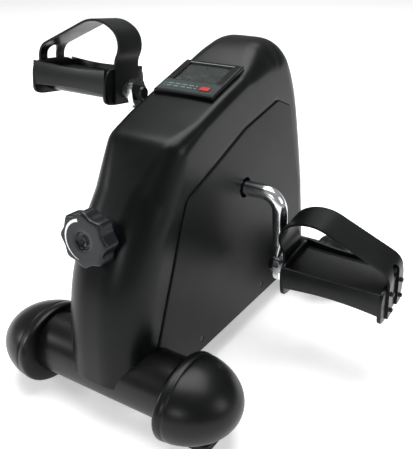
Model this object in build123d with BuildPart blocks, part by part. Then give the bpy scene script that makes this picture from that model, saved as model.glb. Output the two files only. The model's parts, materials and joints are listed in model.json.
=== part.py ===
"""Pedal exerciser: a small floor-standing cycle with a friction brake and a speed display.

Millimetres.  +Z is up, X runs across the machine along the crank's axis, and the user sits
on the -Y side, facing the display and the brake knob.  The origin is on the floor, under
the middle of the machine's outline.  At rest the right crank arm points straight down and
the left one straight up.
"""
from math import atan2, cos, radians, sin, tan
import os

from build123d import *

# ---------------------------------------------------------------- overall sizes
HALF_LENGTH = 186.0          # origin to the front caps' noses and to the rear caps' backs
SEAM = 0.4                   # visible gap between two housing parts
RUNNING = 0.05               # radial clearance of a shaft that turns in its bearing
LOOSE = 0.5                  # clearance between parts that only pass each other

# ---------------------------------------------------------------- floor bars and caps
FRONT_BAR_R = 30.3
REAR_BAR_R = 25.0
BAR_WALL = 2.0
PAD_LIFT = 2.0               # underside of a cap above the floor: the rubber pad shows below it
PAD_HEIGHT = 7.0
CAP_WALL = 3.5
FRONT_CAP = dict(length=57.0, depth=47.0, height=37.5, seat_x=74.0)
REAR_CAP = dict(length=42.0, depth=36.0, height=33.0, seat_x=74.0)
FRONT_BAR_Y = -(HALF_LENGTH - FRONT_CAP["depth"])
REAR_BAR_Y = HALF_LENGTH - REAR_CAP["depth"]
FRONT_BAR_Z = 41.6
REAR_BAR_Z = REAR_CAP["height"] + PAD_LIFT
FRONT_BAR_HALF = FRONT_CAP["seat_x"] + 20.0
REAR_BAR_HALF = REAR_CAP["seat_x"] + 18.0

# ---------------------------------------------------------------- steel frame
BEAM_HALF_WIDTH = 20.0
BEAM_BOTTOM = 46.0
BEAM_TOP = 70.0
STEEL = 2.0
SADDLE = 3.0
SADDLE_HALF_WIDTH = 34.0
UPRIGHT = 4.0
BAR_BOLT_R = 4.0
BAR_BOLT_X = 28.0

# ---------------------------------------------------------------- crank and brake wheel
HUB_Y = 21.5
HUB_Z = 172.0
CRANK_THROW = 82.0
CRANK_LEAN = 5.0             # degrees that the arms stand off the vertical at rest
CRANK_R = 7.5
CRANK_BEND = 17.0
ARM_X = 82.0
ARM_THICK = 6.0
ARM_WIDTH = 17.0
EYE_R = 11.0
EYE_STRETCH = 8.0            # the eye's flat is this much longer than it is wide
FLAT_BLEND = 14.0            # over this length the round arm turns flat
BEARING_R = 16.0
BEARING_WIDTH = 9.0
CUP_WALL = 3.0
WHEEL_R = 60.0
WHEEL_WIDTH = 16.0
WHEEL_HUB_R = 15.0

# ---------------------------------------------------------------- pedals
SPINDLE_R = 6.0
SPINDLE_TAIL = 6.0           # end of the spindle inside its nut
COLLAR_R = 8.0
BUSH_R = 8.5
BUSH_LENGTH = 10.0
PEDAL_INNER_X = 97.0
PEDAL_LENGTH = 103.0
PEDAL_OUTER_X = PEDAL_INNER_X + PEDAL_LENGTH
PEDAL_HALF_DEPTH = 31.0
PEDAL_RIM_TOP = 23.0         # top of the raised long edges above the spindle
PEDAL_RIM_BOTTOM = -3.0
END_PLATE_FOOT = 14.0        # how far the end plates reach below the spindle
PEDAL_WALL = 3.0
TREAD_TOP = 14.0
END_PLATE = 4.0
LEFT_TILT = -7.0             # the heel edge of the left pedal is up
RIGHT_TILT = 6.0            # the toe edge of the right pedal is up

# ---------------------------------------------------------------- straps
STRAP_THICK = 2.5
STRAP_HALF_WIDTH = 18.0
STRAP_FOOT = -12.0           # lower ends of the strap, below the spindle
STRAP_BENDS = ((18.0, 28.0), (20.0, -83.0), (40.0, -60.0))  # radius, then degrees turned
STRAP_LAST_BEND = (16.0, -65.0)
FORK_HALF_GAP = 7.5
PEG_R = 2.2

# ---------------------------------------------------------------- housing
HOUSING_HALF_WIDTH = 42.5
HOUSING_BOTTOM = 27.0
HOUSING_WALL = 2.5
HOUSING_ROUND = 24.0
COVER_SCREW_R = 1.6
COVER_HEAD_R = 3.2
COVER_PROUD = 1.4            # how far a side cover stands out of the shroud
FRONT_LOW = -171.0
REAR_LOW = 183.0
DECK_FRONT = (-72.0, 251.5)  # the sloping top deck, from the knee to the foot of the hump
DECK_BACK = (37.0, 284.0)
SKIN_PLACES = [
    (FRONT_LOW, HOUSING_BOTTOM), (FRONT_LOW, 66), (-161, 130), (-128, 194), (-98, 235),
    DECK_FRONT, (-18, 267.6), DECK_BACK, (83, 304), (120, 288), (143, 240), (165, 150),
    (REAR_LOW, HOUSING_BOTTOM),
]
SKIN_STEPS = 32

# ---------------------------------------------------------------- brake knob and pad
KNOB_RISE = 3.5              # degrees that the knob's axis climbs towards the user
KNOB_R = 25.5
KNOB_BACK = 172.5            # distances along the knob's axis start at the crank's axis
KNOB_FACE = 189.0
KNOB_LOBES = 8
SCREW_R = 4.0
PAD_GAP = 4.5                # brake pad to wheel with the knob in mid travel
PAD_THICK = 5.0
BRACKET_AT = 138.0
CARRIER_LENGTH = 36.0
SCREW_TIP = 80.0
KNOB_STEM_R = 10.0
KNOB_STEM_LENGTH = 20.0
KNOB_RECESS_R = 7.5

# ---------------------------------------------------------------- display
DISPLAY_HALF_WIDTH = 32.5
DISPLAY_HALF_LENGTH = 29.5
DISPLAY_TOP = 5.0            # above the deck
DISPLAY_DEPTH = 13.0         # below the deck
WINDOW = (48.0, 31.0)
WINDOW_SHIFT = 7.0
BUTTON = (10.0, 5.5)
BUTTON_PLACE = (19.0, -19.5)
BUTTON_PROUD = 1.2
BATTERY_R = 10.0
BOARD_UNDER = DISPLAY_TOP - 6.1

# ---------------------------------------------------------------- speed sensor
SENSOR_R = 40.0              # magnet and sensor above the crank's axis
SENSOR_X = 16.0
CABLE_R = 1.3
CABLE_X = 19.0

SIDES = (("left", -1), ("right", 1))

# ---------------------------------------------------------------- planes
SIDE = Plane.YZ              # sketches in side view: first axis +Y, second axis +Z
knob_direction = Vector(0, -cos(radians(KNOB_RISE)), sin(radians(KNOB_RISE)))
hub_centre = Vector(0, HUB_Y, HUB_Z)
KNOB_AXIS = Plane(origin=hub_centre, x_dir=(1, 0, 0), z_dir=knob_direction)
deck_slope = atan2(DECK_BACK[1] - DECK_FRONT[1], DECK_BACK[0] - DECK_FRONT[0])
deck_normal = Vector(0, -sin(deck_slope), cos(deck_slope))
display_foot = Vector(0, DECK_BACK[0], DECK_BACK[1])
display_centre = display_foot - Vector(0, cos(deck_slope), sin(deck_slope)) * DISPLAY_HALF_LENGTH
DECK = Plane(origin=display_centre, x_dir=(1, 0, 0), z_dir=deck_normal)


def pedal_plane(side):
    """Side-view plane through one pedal's spindle: first axis towards the toe, second up."""
    tilt = radians(LEFT_TILT if side < 0 else RIGHT_TILT)
    lean = radians(CRANK_LEAN)
    spindle_y = HUB_Y + side * CRANK_THROW * sin(lean)
    spindle_z = HUB_Z - side * CRANK_THROW * cos(lean)
    return Plane(origin=(0, spindle_y, spindle_z), x_dir=(0, cos(tilt), sin(tilt)), z_dir=(1, 0, 0))


def save(part, name):
    """Label a finished piece and write it to its own STEP file."""
    part.label = name
    export_step(part, f"parts/{name}.step")


def beside(curve, distance, steps):
    """Places along a flat curve, each moved square to it by a distance to the right of travel."""
    places = []
    for step in range(steps + 1):
        place = curve @ (step / steps)
        heading = curve % (step / steps)
        places.append(place + distance * Vector(heading.Y, -heading.X))
    return places


def housing_outline(inset):
    """Side view of the housing, drawn inset from its outer skin.

    The skin runs from the front foot over the knee, deck and hump to the rear foot.  Each
    place on it is moved inwards, square to the skin, and a new curve is drawn through them.
    """
    skin = Edge.make_spline(SKIN_PLACES, tangents=((0, 1), (0.1, -1)))
    through = beside(skin, inset, SKIN_STEPS)
    with BuildSketch(SIDE) as outline:
        with BuildLine():
            Spline(through, tangents=(skin % 0, skin % 1))
            Polyline(through[-1], (REAR_LOW - inset, 0), (FRONT_LOW + inset, 0), through[0])
        make_face()
        with Locations((0, HOUSING_BOTTOM + inset - 50)):
            Rectangle(4 * HALF_LENGTH, 100, mode=Mode.SUBTRACT)
    return outline.sketch_local


def housing_block(inset):
    """The housing as a solid block, inset from its outer skin, with its long edges rounded."""
    half_width = HOUSING_HALF_WIDTH - inset
    with BuildPart() as block:
        with BuildSketch(SIDE):
            add(housing_outline(inset))
        extrude(amount=half_width, both=True)
        rim = block.edges().filter_by(
            lambda edge: abs(abs(edge.center().X) - half_width) < 0.01
            and edge.center().Z > HOUSING_BOTTOM + inset + 1
        )
        fillet(rim, HOUSING_ROUND - inset)
    return block.part


def window_outline(grow):
    """Side view of the opening that a side cover fills, grown all round."""
    with BuildSketch(SIDE) as outline:
        with BuildLine():
            Polyline(
                (-133, HOUSING_BOTTOM), (-131, 71), (-80, 195), (23, 233), (88, 245),
                (118, 232), (147, 130), (158, HOUSING_BOTTOM), (-133, HOUSING_BOTTOM),
            )
        make_face()
        fillet(outline.vertices().filter_by(lambda corner: corner.Y > 60), 10)
        if grow:
            offset(amount=grow, kind=Kind.INTERSECTION)
    return outline.sketch_local


def bar_block(bar_y, bar_z, radius, half_length):
    """A round rod across the machine, to cut or make a floor bar."""
    with BuildPart() as rod:
        with BuildSketch(SIDE):
            with Locations((bar_y, bar_z)):
                Circle(radius)
        extrude(amount=half_length, both=True)
    return rod.part


def bars_block(gap, half_length):
    """Both floor bars as one cutting tool, grown by a gap."""
    with BuildPart() as rods:
        add(bar_block(FRONT_BAR_Y, FRONT_BAR_Z, FRONT_BAR_R + gap, half_length))
        add(bar_block(REAR_BAR_Y, REAR_BAR_Z, REAR_BAR_R + gap, half_length))
    return rods.part


def disc(plane, radius, start, length, bore=0.0):
    """A round disc or ring along a plane's normal, from start over length."""
    with BuildPart() as ring:
        with BuildSketch(plane.offset(start)):
            Circle(radius)
            if bore:
                Circle(bore, mode=Mode.SUBTRACT)
        extrude(amount=length)
    return ring.part


# ---------------------------------------------------------------- floor bars
def floor_bar(bar_y, bar_z, radius, half_length):
    """Steel tube with two holes through it for the bolts that hold it to the frame."""
    with BuildPart() as bar:
        with BuildSketch(SIDE):
            with Locations((bar_y, bar_z)):
                Circle(radius)
                Circle(radius - BAR_WALL, mode=Mode.SUBTRACT)
        extrude(amount=half_length, both=True)
        with BuildSketch(Plane.XY):
            with Locations((-BAR_BOLT_X, bar_y), (BAR_BOLT_X, bar_y)):
                Circle(BAR_BOLT_R + 0.1)
        extrude(amount=bar_z + 2 * radius, mode=Mode.SUBTRACT)
    return bar.part


def bar_cap(size, side, bar_y, bar_z, bar_r, bar_half):
    """Hollow moulded end cap: half an egg with a closed rim and a thick sole for the pad."""
    middle = Location((side * size["seat_x"], bar_y, size["height"] + PAD_LIFT))
    egg = scale(Sphere(1), by=(size["length"], size["depth"], size["height"]))
    hollow = scale(
        Sphere(1),
        by=tuple(size[key] - CAP_WALL for key in ("length", "depth", "height")),
    )
    sole_top = PAD_HEIGHT + CAP_WALL
    with BuildPart() as cap:
        add(middle * egg)
        with BuildSketch(Plane.XY.offset(sole_top), mode=Mode.PRIVATE) as above_sole:
            with Locations((side * size["seat_x"], bar_y)):
                Rectangle(4 * size["length"], 4 * size["depth"])
        room = extrude(above_sole.sketch, amount=4 * size["height"], mode=Mode.PRIVATE)
        add(middle * hollow & room, mode=Mode.SUBTRACT)
        split(bisect_by=Plane.YZ.offset(side * size["seat_x"]),
              keep=Keep.TOP if side > 0 else Keep.BOTTOM)
        with BuildSketch(Plane.YZ.offset(side * size["seat_x"])):
            with Locations((bar_y, size["height"] + PAD_LIFT)):
                Ellipse(size["depth"] - 1, size["height"] - 1)
        extrude(amount=side * CAP_WALL)
        add(bar_block(bar_y, bar_z, bar_r, bar_half), mode=Mode.SUBTRACT)
        with BuildSketch(Plane.XY):
            with Locations((side * (size["seat_x"] + 22), bar_y)):
                RectangleRounded(26, 34, 6)
        extrude(amount=PAD_HEIGHT, mode=Mode.SUBTRACT)
    return cap.part


def sole_pads():
    """The four rubber pads that the machine stands on."""
    with BuildPart() as pads:
        for size, bar_y in ((FRONT_CAP, FRONT_BAR_Y), (REAR_CAP, REAR_BAR_Y)):
            with BuildSketch(Plane.XY):
                with Locations((size["seat_x"] + 22, bar_y), (-size["seat_x"] - 22, bar_y)):
                    RectangleRounded(26, 34, 6)
            extrude(amount=PAD_HEIGHT)
    return pads.part


def bar_bolts():
    """Four carriage bolts up through the floor bars and the frame's saddles."""
    with BuildPart() as bolts:
        for bar_y, bar_z, bar_r in (
            (FRONT_BAR_Y, FRONT_BAR_Z, FRONT_BAR_R), (REAR_BAR_Y, REAR_BAR_Z, REAR_BAR_R),
        ):
            bottom = bar_z - bar_r
            with BuildSketch(Plane.XY.offset(bottom - 4)):
                with Locations((-BAR_BOLT_X, bar_y), (BAR_BOLT_X, bar_y)):
                    Circle(9)
            extrude(amount=4, taper=-25)
            with BuildSketch(Plane.XY.offset(bottom)):
                with Locations((-BAR_BOLT_X, bar_y), (BAR_BOLT_X, bar_y)):
                    Circle(BAR_BOLT_R)
            extrude(amount=2 * bar_r + SADDLE + 11)
    return bolts.part


def bar_nuts():
    """Hexagon nuts on top of the saddles."""
    with BuildPart() as nuts:
        for bar_y, bar_z, bar_r in (
            (FRONT_BAR_Y, FRONT_BAR_Z, FRONT_BAR_R), (REAR_BAR_Y, REAR_BAR_Z, REAR_BAR_R),
        ):
            with BuildSketch(Plane.XY.offset(bar_z + bar_r + SADDLE)):
                with Locations((-BAR_BOLT_X, bar_y), (BAR_BOLT_X, bar_y)):
                    RegularPolygon(7.5, 6)
                    Circle(BAR_BOLT_R, mode=Mode.SUBTRACT)
            extrude(amount=6.5)
    return nuts.part


# ---------------------------------------------------------------- steel frame
def main_frame():
    """Welded frame: box beam, a saddle over each floor bar, two uprights with bearing cups."""
    cup_x = BEAM_HALF_WIDTH + UPRIGHT
    cup_r = BEARING_R + CUP_WALL
    arm_end = BRACKET_AT + UPRIGHT
    with BuildPart() as frame:
        with BuildSketch(Plane.XZ.offset(-REAR_BAR_Y)):
            with Locations((0, (BEAM_TOP + BEAM_BOTTOM) / 2)):
                Rectangle(2 * BEAM_HALF_WIDTH, BEAM_TOP - BEAM_BOTTOM)
                Rectangle(2 * (BEAM_HALF_WIDTH - STEEL), BEAM_TOP - BEAM_BOTTOM - 2 * STEEL,
                          mode=Mode.SUBTRACT)
        extrude(amount=REAR_BAR_Y - FRONT_BAR_Y)
        for bar_y, bar_z, bar_r in (
            (FRONT_BAR_Y, FRONT_BAR_Z, FRONT_BAR_R), (REAR_BAR_Y, REAR_BAR_Z, REAR_BAR_R),
        ):
            with BuildSketch(SIDE):
                with Locations((bar_y, bar_z)):
                    Circle(bar_r + SADDLE)
                with Locations((bar_y, bar_z - bar_r / 8)):
                    Rectangle(4 * bar_r, 2 * bar_r, mode=Mode.SUBTRACT)
            extrude(amount=SADDLE_HALF_WIDTH, both=True)
        add(bars_block(0, 2 * SADDLE_HALF_WIDTH), mode=Mode.SUBTRACT)
        with BuildSketch(Plane.XY.offset(BEAM_BOTTOM)):
            for bar_y in (FRONT_BAR_Y, REAR_BAR_Y):
                with Locations((-BAR_BOLT_X, bar_y), (BAR_BOLT_X, bar_y)):
                    Circle(BAR_BOLT_R + 0.1)
        extrude(amount=60, mode=Mode.SUBTRACT)
        for side in (-1, 1):
            with BuildSketch(SIDE.offset(side * BEAM_HALF_WIDTH)):
                with BuildLine():
                    Polyline(
                        (HUB_Y - 48, BEAM_BOTTOM), (HUB_Y + 48, BEAM_BOTTOM),
                        (HUB_Y + cup_r, HUB_Z), (HUB_Y - cup_r, HUB_Z),
                        (HUB_Y - 48, BEAM_BOTTOM),
                    )
                make_face()
                with Locations((HUB_Y, HUB_Z)):
                    Circle(cup_r + 4)
                with Locations(Location((HUB_Y, HUB_Z), -KNOB_RISE)):
                    with Locations((-arm_end / 2, 0)):
                        Rectangle(arm_end, 22)
                with Locations((HUB_Y, HUB_Z)):
                    Circle(BEARING_R, mode=Mode.SUBTRACT)
            extrude(amount=side * UPRIGHT)
            with BuildSketch(SIDE.offset(side * cup_x)):
                with Locations((HUB_Y, HUB_Z)):
                    Circle(cup_r)
                    Circle(BEARING_R, mode=Mode.SUBTRACT)
            extrude(amount=side * BEARING_WIDTH)
        with BuildSketch(KNOB_AXIS.offset(BRACKET_AT)):
            Rectangle(2 * BEAM_HALF_WIDTH, 22)
            Circle(SCREW_R + RUNNING, mode=Mode.SUBTRACT)
        extrude(amount=UPRIGHT)
    return frame.part


# ---------------------------------------------------------------- crank and wheel
def crank():
    """One bar bent twice: shaft through the hub, then an arm each way, flattened to an eye."""
    flat_full = CRANK_THROW - EYE_STRETCH / 2 - EYE_R + 1
    flat_start = flat_full - FLAT_BLEND
    arm_run = [
        (-ARM_X, HUB_Y, HUB_Z + flat_start), (-ARM_X, HUB_Y, HUB_Z),
        (ARM_X, HUB_Y, HUB_Z), (ARM_X, HUB_Y, HUB_Z - flat_start),
    ]
    with BuildPart() as bar:
        with BuildLine():
            FilletPolyline(*arm_run, radius=CRANK_BEND)
        with BuildSketch(Plane.XY.offset(HUB_Z + flat_start)):
            with Locations((-ARM_X, HUB_Y)):
                Circle(CRANK_R)
        sweep()
        for side in (-1, 1):
            with BuildSketch(Plane.XY.offset(HUB_Z - side * flat_start)):
                with Locations((side * ARM_X, HUB_Y)):
                    Circle(CRANK_R)
            with BuildSketch(Plane.XY.offset(HUB_Z - side * flat_full)):
                with Locations((side * ARM_X, HUB_Y)):
                    Ellipse(ARM_THICK / 2, ARM_WIDTH / 2)
            loft()
            eye_z = HUB_Z - side * CRANK_THROW
            with BuildSketch(SIDE.offset(side * ARM_X - ARM_THICK / 2)):
                with Locations((HUB_Y, HUB_Z - side * (flat_full - 1))):
                    Rectangle(ARM_WIDTH, 2)
                with Locations((HUB_Y, eye_z)):
                    SlotCenterToCenter(EYE_STRETCH, 2 * EYE_R, rotation=90)
                    Circle(SPINDLE_R, mode=Mode.SUBTRACT)
            extrude(amount=ARM_THICK)
    return bar.part.rotate(Axis(hub_centre, (1, 0, 0)), CRANK_LEAN)


def brake_wheel():
    """Cast wheel pressed on the crank: heavy rim, thin web and a hub boss."""
    rim = 9.0
    web = 5.0
    with BuildPart() as wheel:
        with BuildSketch(SIDE.offset(-WHEEL_WIDTH / 2)):
            with Locations((HUB_Y, HUB_Z)):
                Circle(WHEEL_R)
                Circle(WHEEL_R - rim, mode=Mode.SUBTRACT)
                Circle(WHEEL_HUB_R)
        extrude(amount=WHEEL_WIDTH)
        with BuildSketch(SIDE.offset(-web / 2)):
            with Locations((HUB_Y, HUB_Z)):
                Circle(WHEEL_R - rim / 2)
        extrude(amount=web)
        with BuildSketch(SIDE.offset(-WHEEL_WIDTH)):
            with Locations((HUB_Y, HUB_Z)):
                Circle(CRANK_R)
        extrude(amount=2 * WHEEL_WIDTH, mode=Mode.SUBTRACT)
    return wheel.part


def hub_plane(x):
    """Side-view plane centred on the crank's axis."""
    return Plane(origin=(x, HUB_Y, HUB_Z), x_dir=(0, 1, 0), z_dir=(1, 0, 0))


def retaining_rings():
    """One ring on the shaft outside each bearing."""
    ring_x = BEAM_HALF_WIDTH + UPRIGHT + BEARING_WIDTH + 0.4
    with BuildPart() as rings:
        add(disc(hub_plane(ring_x), CRANK_R + 3, 0, 1.5, CRANK_R))
        add(disc(hub_plane(-ring_x), CRANK_R + 3, 0, -1.5, CRANK_R))
    return rings.part


# ---------------------------------------------------------------- pedals
def pedal_body(side):
    """Moulded pedal: concave tray between two end plates, over a tube for the spindle."""
    plane = pedal_plane(side)
    inner = plane.offset(side * PEDAL_INNER_X)
    depth = PEDAL_HALF_DEPTH
    with BuildPart() as body:
        with BuildSketch(inner):
            with BuildLine():
                outer_floor = TREAD_TOP - PEDAL_WALL
                Polyline(
                    (-depth + PEDAL_WALL, TREAD_TOP), (-depth + PEDAL_WALL, PEDAL_RIM_TOP),
                    (-depth, PEDAL_RIM_TOP), (-depth, PEDAL_RIM_BOTTOM),
                    (-depth + PEDAL_WALL, PEDAL_RIM_BOTTOM),
                    (-depth + PEDAL_WALL, outer_floor), (depth - PEDAL_WALL, outer_floor),
                    (depth - PEDAL_WALL, PEDAL_RIM_BOTTOM), (depth, PEDAL_RIM_BOTTOM),
                    (depth, PEDAL_RIM_TOP), (depth - PEDAL_WALL, PEDAL_RIM_TOP),
                    (depth - PEDAL_WALL, TREAD_TOP), (-depth + PEDAL_WALL, TREAD_TOP),
                )
            make_face()
            Circle(BUSH_R + PEDAL_WALL)
        extrude(amount=side * PEDAL_LENGTH)
        for start in (PEDAL_INNER_X, PEDAL_OUTER_X - END_PLATE):
            with BuildSketch(plane.offset(side * start)):
                with Locations((0, (PEDAL_RIM_TOP - END_PLATE_FOOT) / 2)):
                    RectangleRounded(2 * depth, PEDAL_RIM_TOP + END_PLATE_FOOT, 9)
            extrude(amount=side * END_PLATE)
        with BuildSketch(inner):
            Circle(BUSH_R)
        extrude(amount=side * PEDAL_LENGTH, mode=Mode.SUBTRACT)
        with BuildSketch(plane.offset(side * PEDAL_OUTER_X)):
            with Locations(*[(d, h) for d in (-13, 13) for h in (-4, 14)]):
                Circle(PEG_R)
        extrude(amount=side * (STRAP_THICK + 3))
    return body.part


def pedal_bushes(side):
    """Two plastic bushes that line the ends of the pedal's tube."""
    plane = pedal_plane(side)
    outer_start = PEDAL_OUTER_X - END_PLATE - 6 - BUSH_LENGTH
    with BuildPart() as bushes:
        for start in (PEDAL_INNER_X, outer_start):
            with BuildSketch(plane.offset(side * start)):
                Circle(BUSH_R)
                Circle(SPINDLE_R + RUNNING, mode=Mode.SUBTRACT)
            extrude(amount=side * BUSH_LENGTH)
    return bushes.part


def pedal_spindle(side):
    """Steel pin through the crank's eye, with a collar against the arm and a ring groove."""
    plane = pedal_plane(side)
    arm_inner = ARM_X - ARM_THICK / 2
    arm_outer = ARM_X + ARM_THICK / 2
    end = PEDAL_OUTER_X - END_PLATE - 2
    with BuildPart() as spindle:
        with BuildSketch(plane.offset(side * (arm_inner - SPINDLE_TAIL))):
            Circle(SPINDLE_R)
        extrude(amount=side * (end - arm_inner + SPINDLE_TAIL))
        with BuildSketch(plane.offset(side * arm_outer)):
            Circle(COLLAR_R)
        extrude(amount=side * (PEDAL_INNER_X - LOOSE - arm_outer))
    return spindle.part


def spindle_clip(side):
    """Ring that keeps the pedal on its spindle."""
    plane = pedal_plane(side)
    start = PEDAL_OUTER_X - END_PLATE - 6 + LOOSE
    return disc(plane, BUSH_R - LOOSE, side * start, side * 1.5, SPINDLE_R)


def spindle_nut(side):
    """Domed hexagon nut on the body side of the arm."""
    plane = pedal_plane(side)
    face = ARM_X - ARM_THICK / 2
    with BuildPart() as nut:
        with BuildSketch(plane.offset(side * face)):
            RegularPolygon(8.5, 6)
        extrude(amount=-side * 5)
        with BuildSketch(plane.offset(side * (face - 5))):
            Circle(7)
        extrude(amount=-side * 2.5, taper=25)
        with BuildSketch(plane.offset(side * face)):
            Circle(SPINDLE_R)
        extrude(amount=-side * (SPINDLE_TAIL + LOOSE), mode=Mode.SUBTRACT)
    return nut.part


def dust_cap(side):
    """Plug that closes the outer end of the pedal's tube."""
    plane = pedal_plane(side)
    return disc(plane, BUSH_R, side * (PEDAL_OUTER_X - 3), side * 3)


def strap_plane(side):
    """Front-view plane of one strap, through the spindle: outward from the body, and up."""
    plane = pedal_plane(side)
    return Plane(origin=plane.origin, x_dir=(side, 0, 0), z_dir=-side * plane.x_dir)


def pedal_strap(side):
    """Soft foot strap: an arch whose inner end hangs on the spindle and outer end on pegs."""
    inner = PEDAL_INNER_X - STRAP_THICK / 2
    outer = PEDAL_OUTER_X + STRAP_THICK / 2
    last_radius, last_turn = STRAP_LAST_BEND
    with BuildPart() as strap:
        with BuildSketch(strap_plane(side)):
            with BuildLine():
                run = Line((inner, STRAP_FOOT), (inner, PEDAL_RIM_TOP + 4))
                for radius, turn in STRAP_BENDS:
                    run = JernArc(run @ 1, run % 1, radius, turn)
                shoulder = last_radius * (1 - cos(radians(last_turn)))
                length = (outer - (run @ 1).X - shoulder) / (run % 1).X
                run = Line(run @ 1, run @ 1 + length * (run % 1))
                run = JernArc(run @ 1, run % 1, last_radius, last_turn)
                Line(run @ 1, (outer, STRAP_FOOT))
            trace(line_width=STRAP_THICK)
        extrude(amount=STRAP_HALF_WIDTH, both=True)
        plane = pedal_plane(side)
        with BuildSketch(plane.offset(side * (inner - 2 * STRAP_THICK))):
            Circle(BUSH_R)
        extrude(amount=side * 3 * STRAP_THICK, mode=Mode.SUBTRACT)
        with BuildSketch(plane.offset(side * (outer - 25))):
            with Locations((0, 10)):
                RectangleRounded(2 * FORK_HALF_GAP, 54, FORK_HALF_GAP - 0.1)
            with Locations(*[(d, h) for d in (-13, 13) for h in (-4, 14)]):
                Circle(PEG_R + 0.2)
        extrude(amount=side * 35, mode=Mode.SUBTRACT)
    return strap.part


# ---------------------------------------------------------------- housing
def centre_shroud():
    """One-piece front, top and rear shell that the two side covers close."""
    with BuildPart() as shroud:
        add(housing_block(0))
        add(housing_block(HOUSING_WALL), mode=Mode.SUBTRACT)
        with BuildSketch(SIDE):
            add(window_outline(0))
        extrude(amount=2 * HOUSING_HALF_WIDTH, both=True, mode=Mode.SUBTRACT)
        with BuildSketch(Plane.XY):
            Rectangle(4 * HOUSING_HALF_WIDTH, 2 * HALF_LENGTH)
        extrude(amount=HOUSING_BOTTOM + HOUSING_WALL + LOOSE, mode=Mode.SUBTRACT)
        with BuildSketch(Plane.XY):
            with Locations((0, FRONT_BAR_Y - 100)):
                Rectangle(4 * HOUSING_HALF_WIDTH, 200)
        extrude(amount=FRONT_BAR_Z, mode=Mode.SUBTRACT)
        add(bars_block(SEAM, 2 * HOUSING_HALF_WIDTH), mode=Mode.SUBTRACT)
        with BuildSketch(KNOB_AXIS.offset(BRACKET_AT)):
            Circle(KNOB_STEM_R + 1)
        extrude(amount=50, mode=Mode.SUBTRACT)
        with BuildSketch(DECK.offset(-DISPLAY_DEPTH - 5)):
            Rectangle(2 * (DISPLAY_HALF_WIDTH + SEAM), 2 * DISPLAY_HALF_LENGTH)
        extrude(amount=40, mode=Mode.SUBTRACT)
    return shroud.part


def cover_screw_places():
    """Side-view places of the screws that hold each side cover."""
    return [(-100, 40), (-62, 40), (60, 40), (112, 66)]


def side_cover(side):
    """Flat moulded side cover with a turned-in wall and bosses for its screws."""
    outer_face = HOUSING_HALF_WIDTH + COVER_PROUD
    inner_face = HOUSING_HALF_WIDTH - HOUSING_WALL
    lip_back = inner_face - HOUSING_WALL
    with BuildPart() as cover:
        with BuildSketch(SIDE.offset(side * lip_back)):
            add(window_outline(-SEAM))
        extrude(amount=side * (outer_face - lip_back))
        fillet(cover.faces().sort_by(Axis.X)[-1 if side > 0 else 0].edges()
               .filter_by(lambda edge: edge.center().Z > HOUSING_BOTTOM + 1), 1.2)
        with BuildSketch(SIDE.offset(side * lip_back)):
            add(window_outline(-SEAM - HOUSING_WALL))
        extrude(amount=side * (outer_face - HOUSING_WALL - lip_back), mode=Mode.SUBTRACT)
        with BuildSketch(SIDE.offset(side * lip_back)):
            with Locations(*cover_screw_places()):
                Circle(4.5)
        extrude(amount=side * (outer_face - HOUSING_WALL - lip_back))
        with BuildSketch(SIDE.offset(side * lip_back)):
            with Locations((HUB_Y, HUB_Z)):
                Circle(CRANK_R + 3)
            with Locations(*cover_screw_places()):
                Circle(COVER_SCREW_R)
        extrude(amount=side * 20, mode=Mode.SUBTRACT)
        with BuildSketch(SIDE.offset(side * (outer_face - 2))):
            with Locations(*cover_screw_places()):
                Circle(COVER_HEAD_R + 0.3)
        extrude(amount=side * 5, mode=Mode.SUBTRACT)
        add(bars_block(SEAM, 2 * HOUSING_HALF_WIDTH), mode=Mode.SUBTRACT)
    return cover.part


def cover_screws(side):
    """Pan-head screws sunk level with one side cover."""
    outer_face = HOUSING_HALF_WIDTH + COVER_PROUD
    with BuildPart() as screws:
        with BuildSketch(SIDE.offset(side * (outer_face - 2))):
            with Locations(*cover_screw_places()):
                Circle(COVER_HEAD_R)
        extrude(amount=side * 1.6)
        with BuildSketch(SIDE.offset(side * (outer_face - 2))):
            with Locations(*cover_screw_places()):
                Circle(COVER_SCREW_R)
        extrude(amount=-side * 12)
    return screws.part


def base_tray():
    """Plate that closes the housing from below, with posts that take the cover screws."""
    lip_back = HOUSING_HALF_WIDTH - 2 * HOUSING_WALL
    post_x = lip_back - 5
    with BuildPart() as tray:
        with BuildSketch(Plane.XY.offset(HOUSING_BOTTOM)):
            with Locations((0, 12.5)):
                Rectangle(2 * (lip_back - SEAM), 289)
        extrude(amount=HOUSING_WALL)
        for side in (-1, 1):
            for place_y, place_z in cover_screw_places():
                with BuildSketch(Plane.XY.offset(HOUSING_BOTTOM)):
                    with Locations((side * post_x, place_y)):
                        Rectangle(10 - 2 * SEAM, 12)
                extrude(amount=place_z + 6 - HOUSING_BOTTOM)
            with BuildSketch(SIDE.offset(side * lip_back)):
                with Locations(*cover_screw_places()):
                    Circle(COVER_SCREW_R)
            extrude(amount=-side * 12, mode=Mode.SUBTRACT)
        add(bars_block(SEAM, 2 * HOUSING_HALF_WIDTH), mode=Mode.SUBTRACT)
    return tray.part


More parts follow.
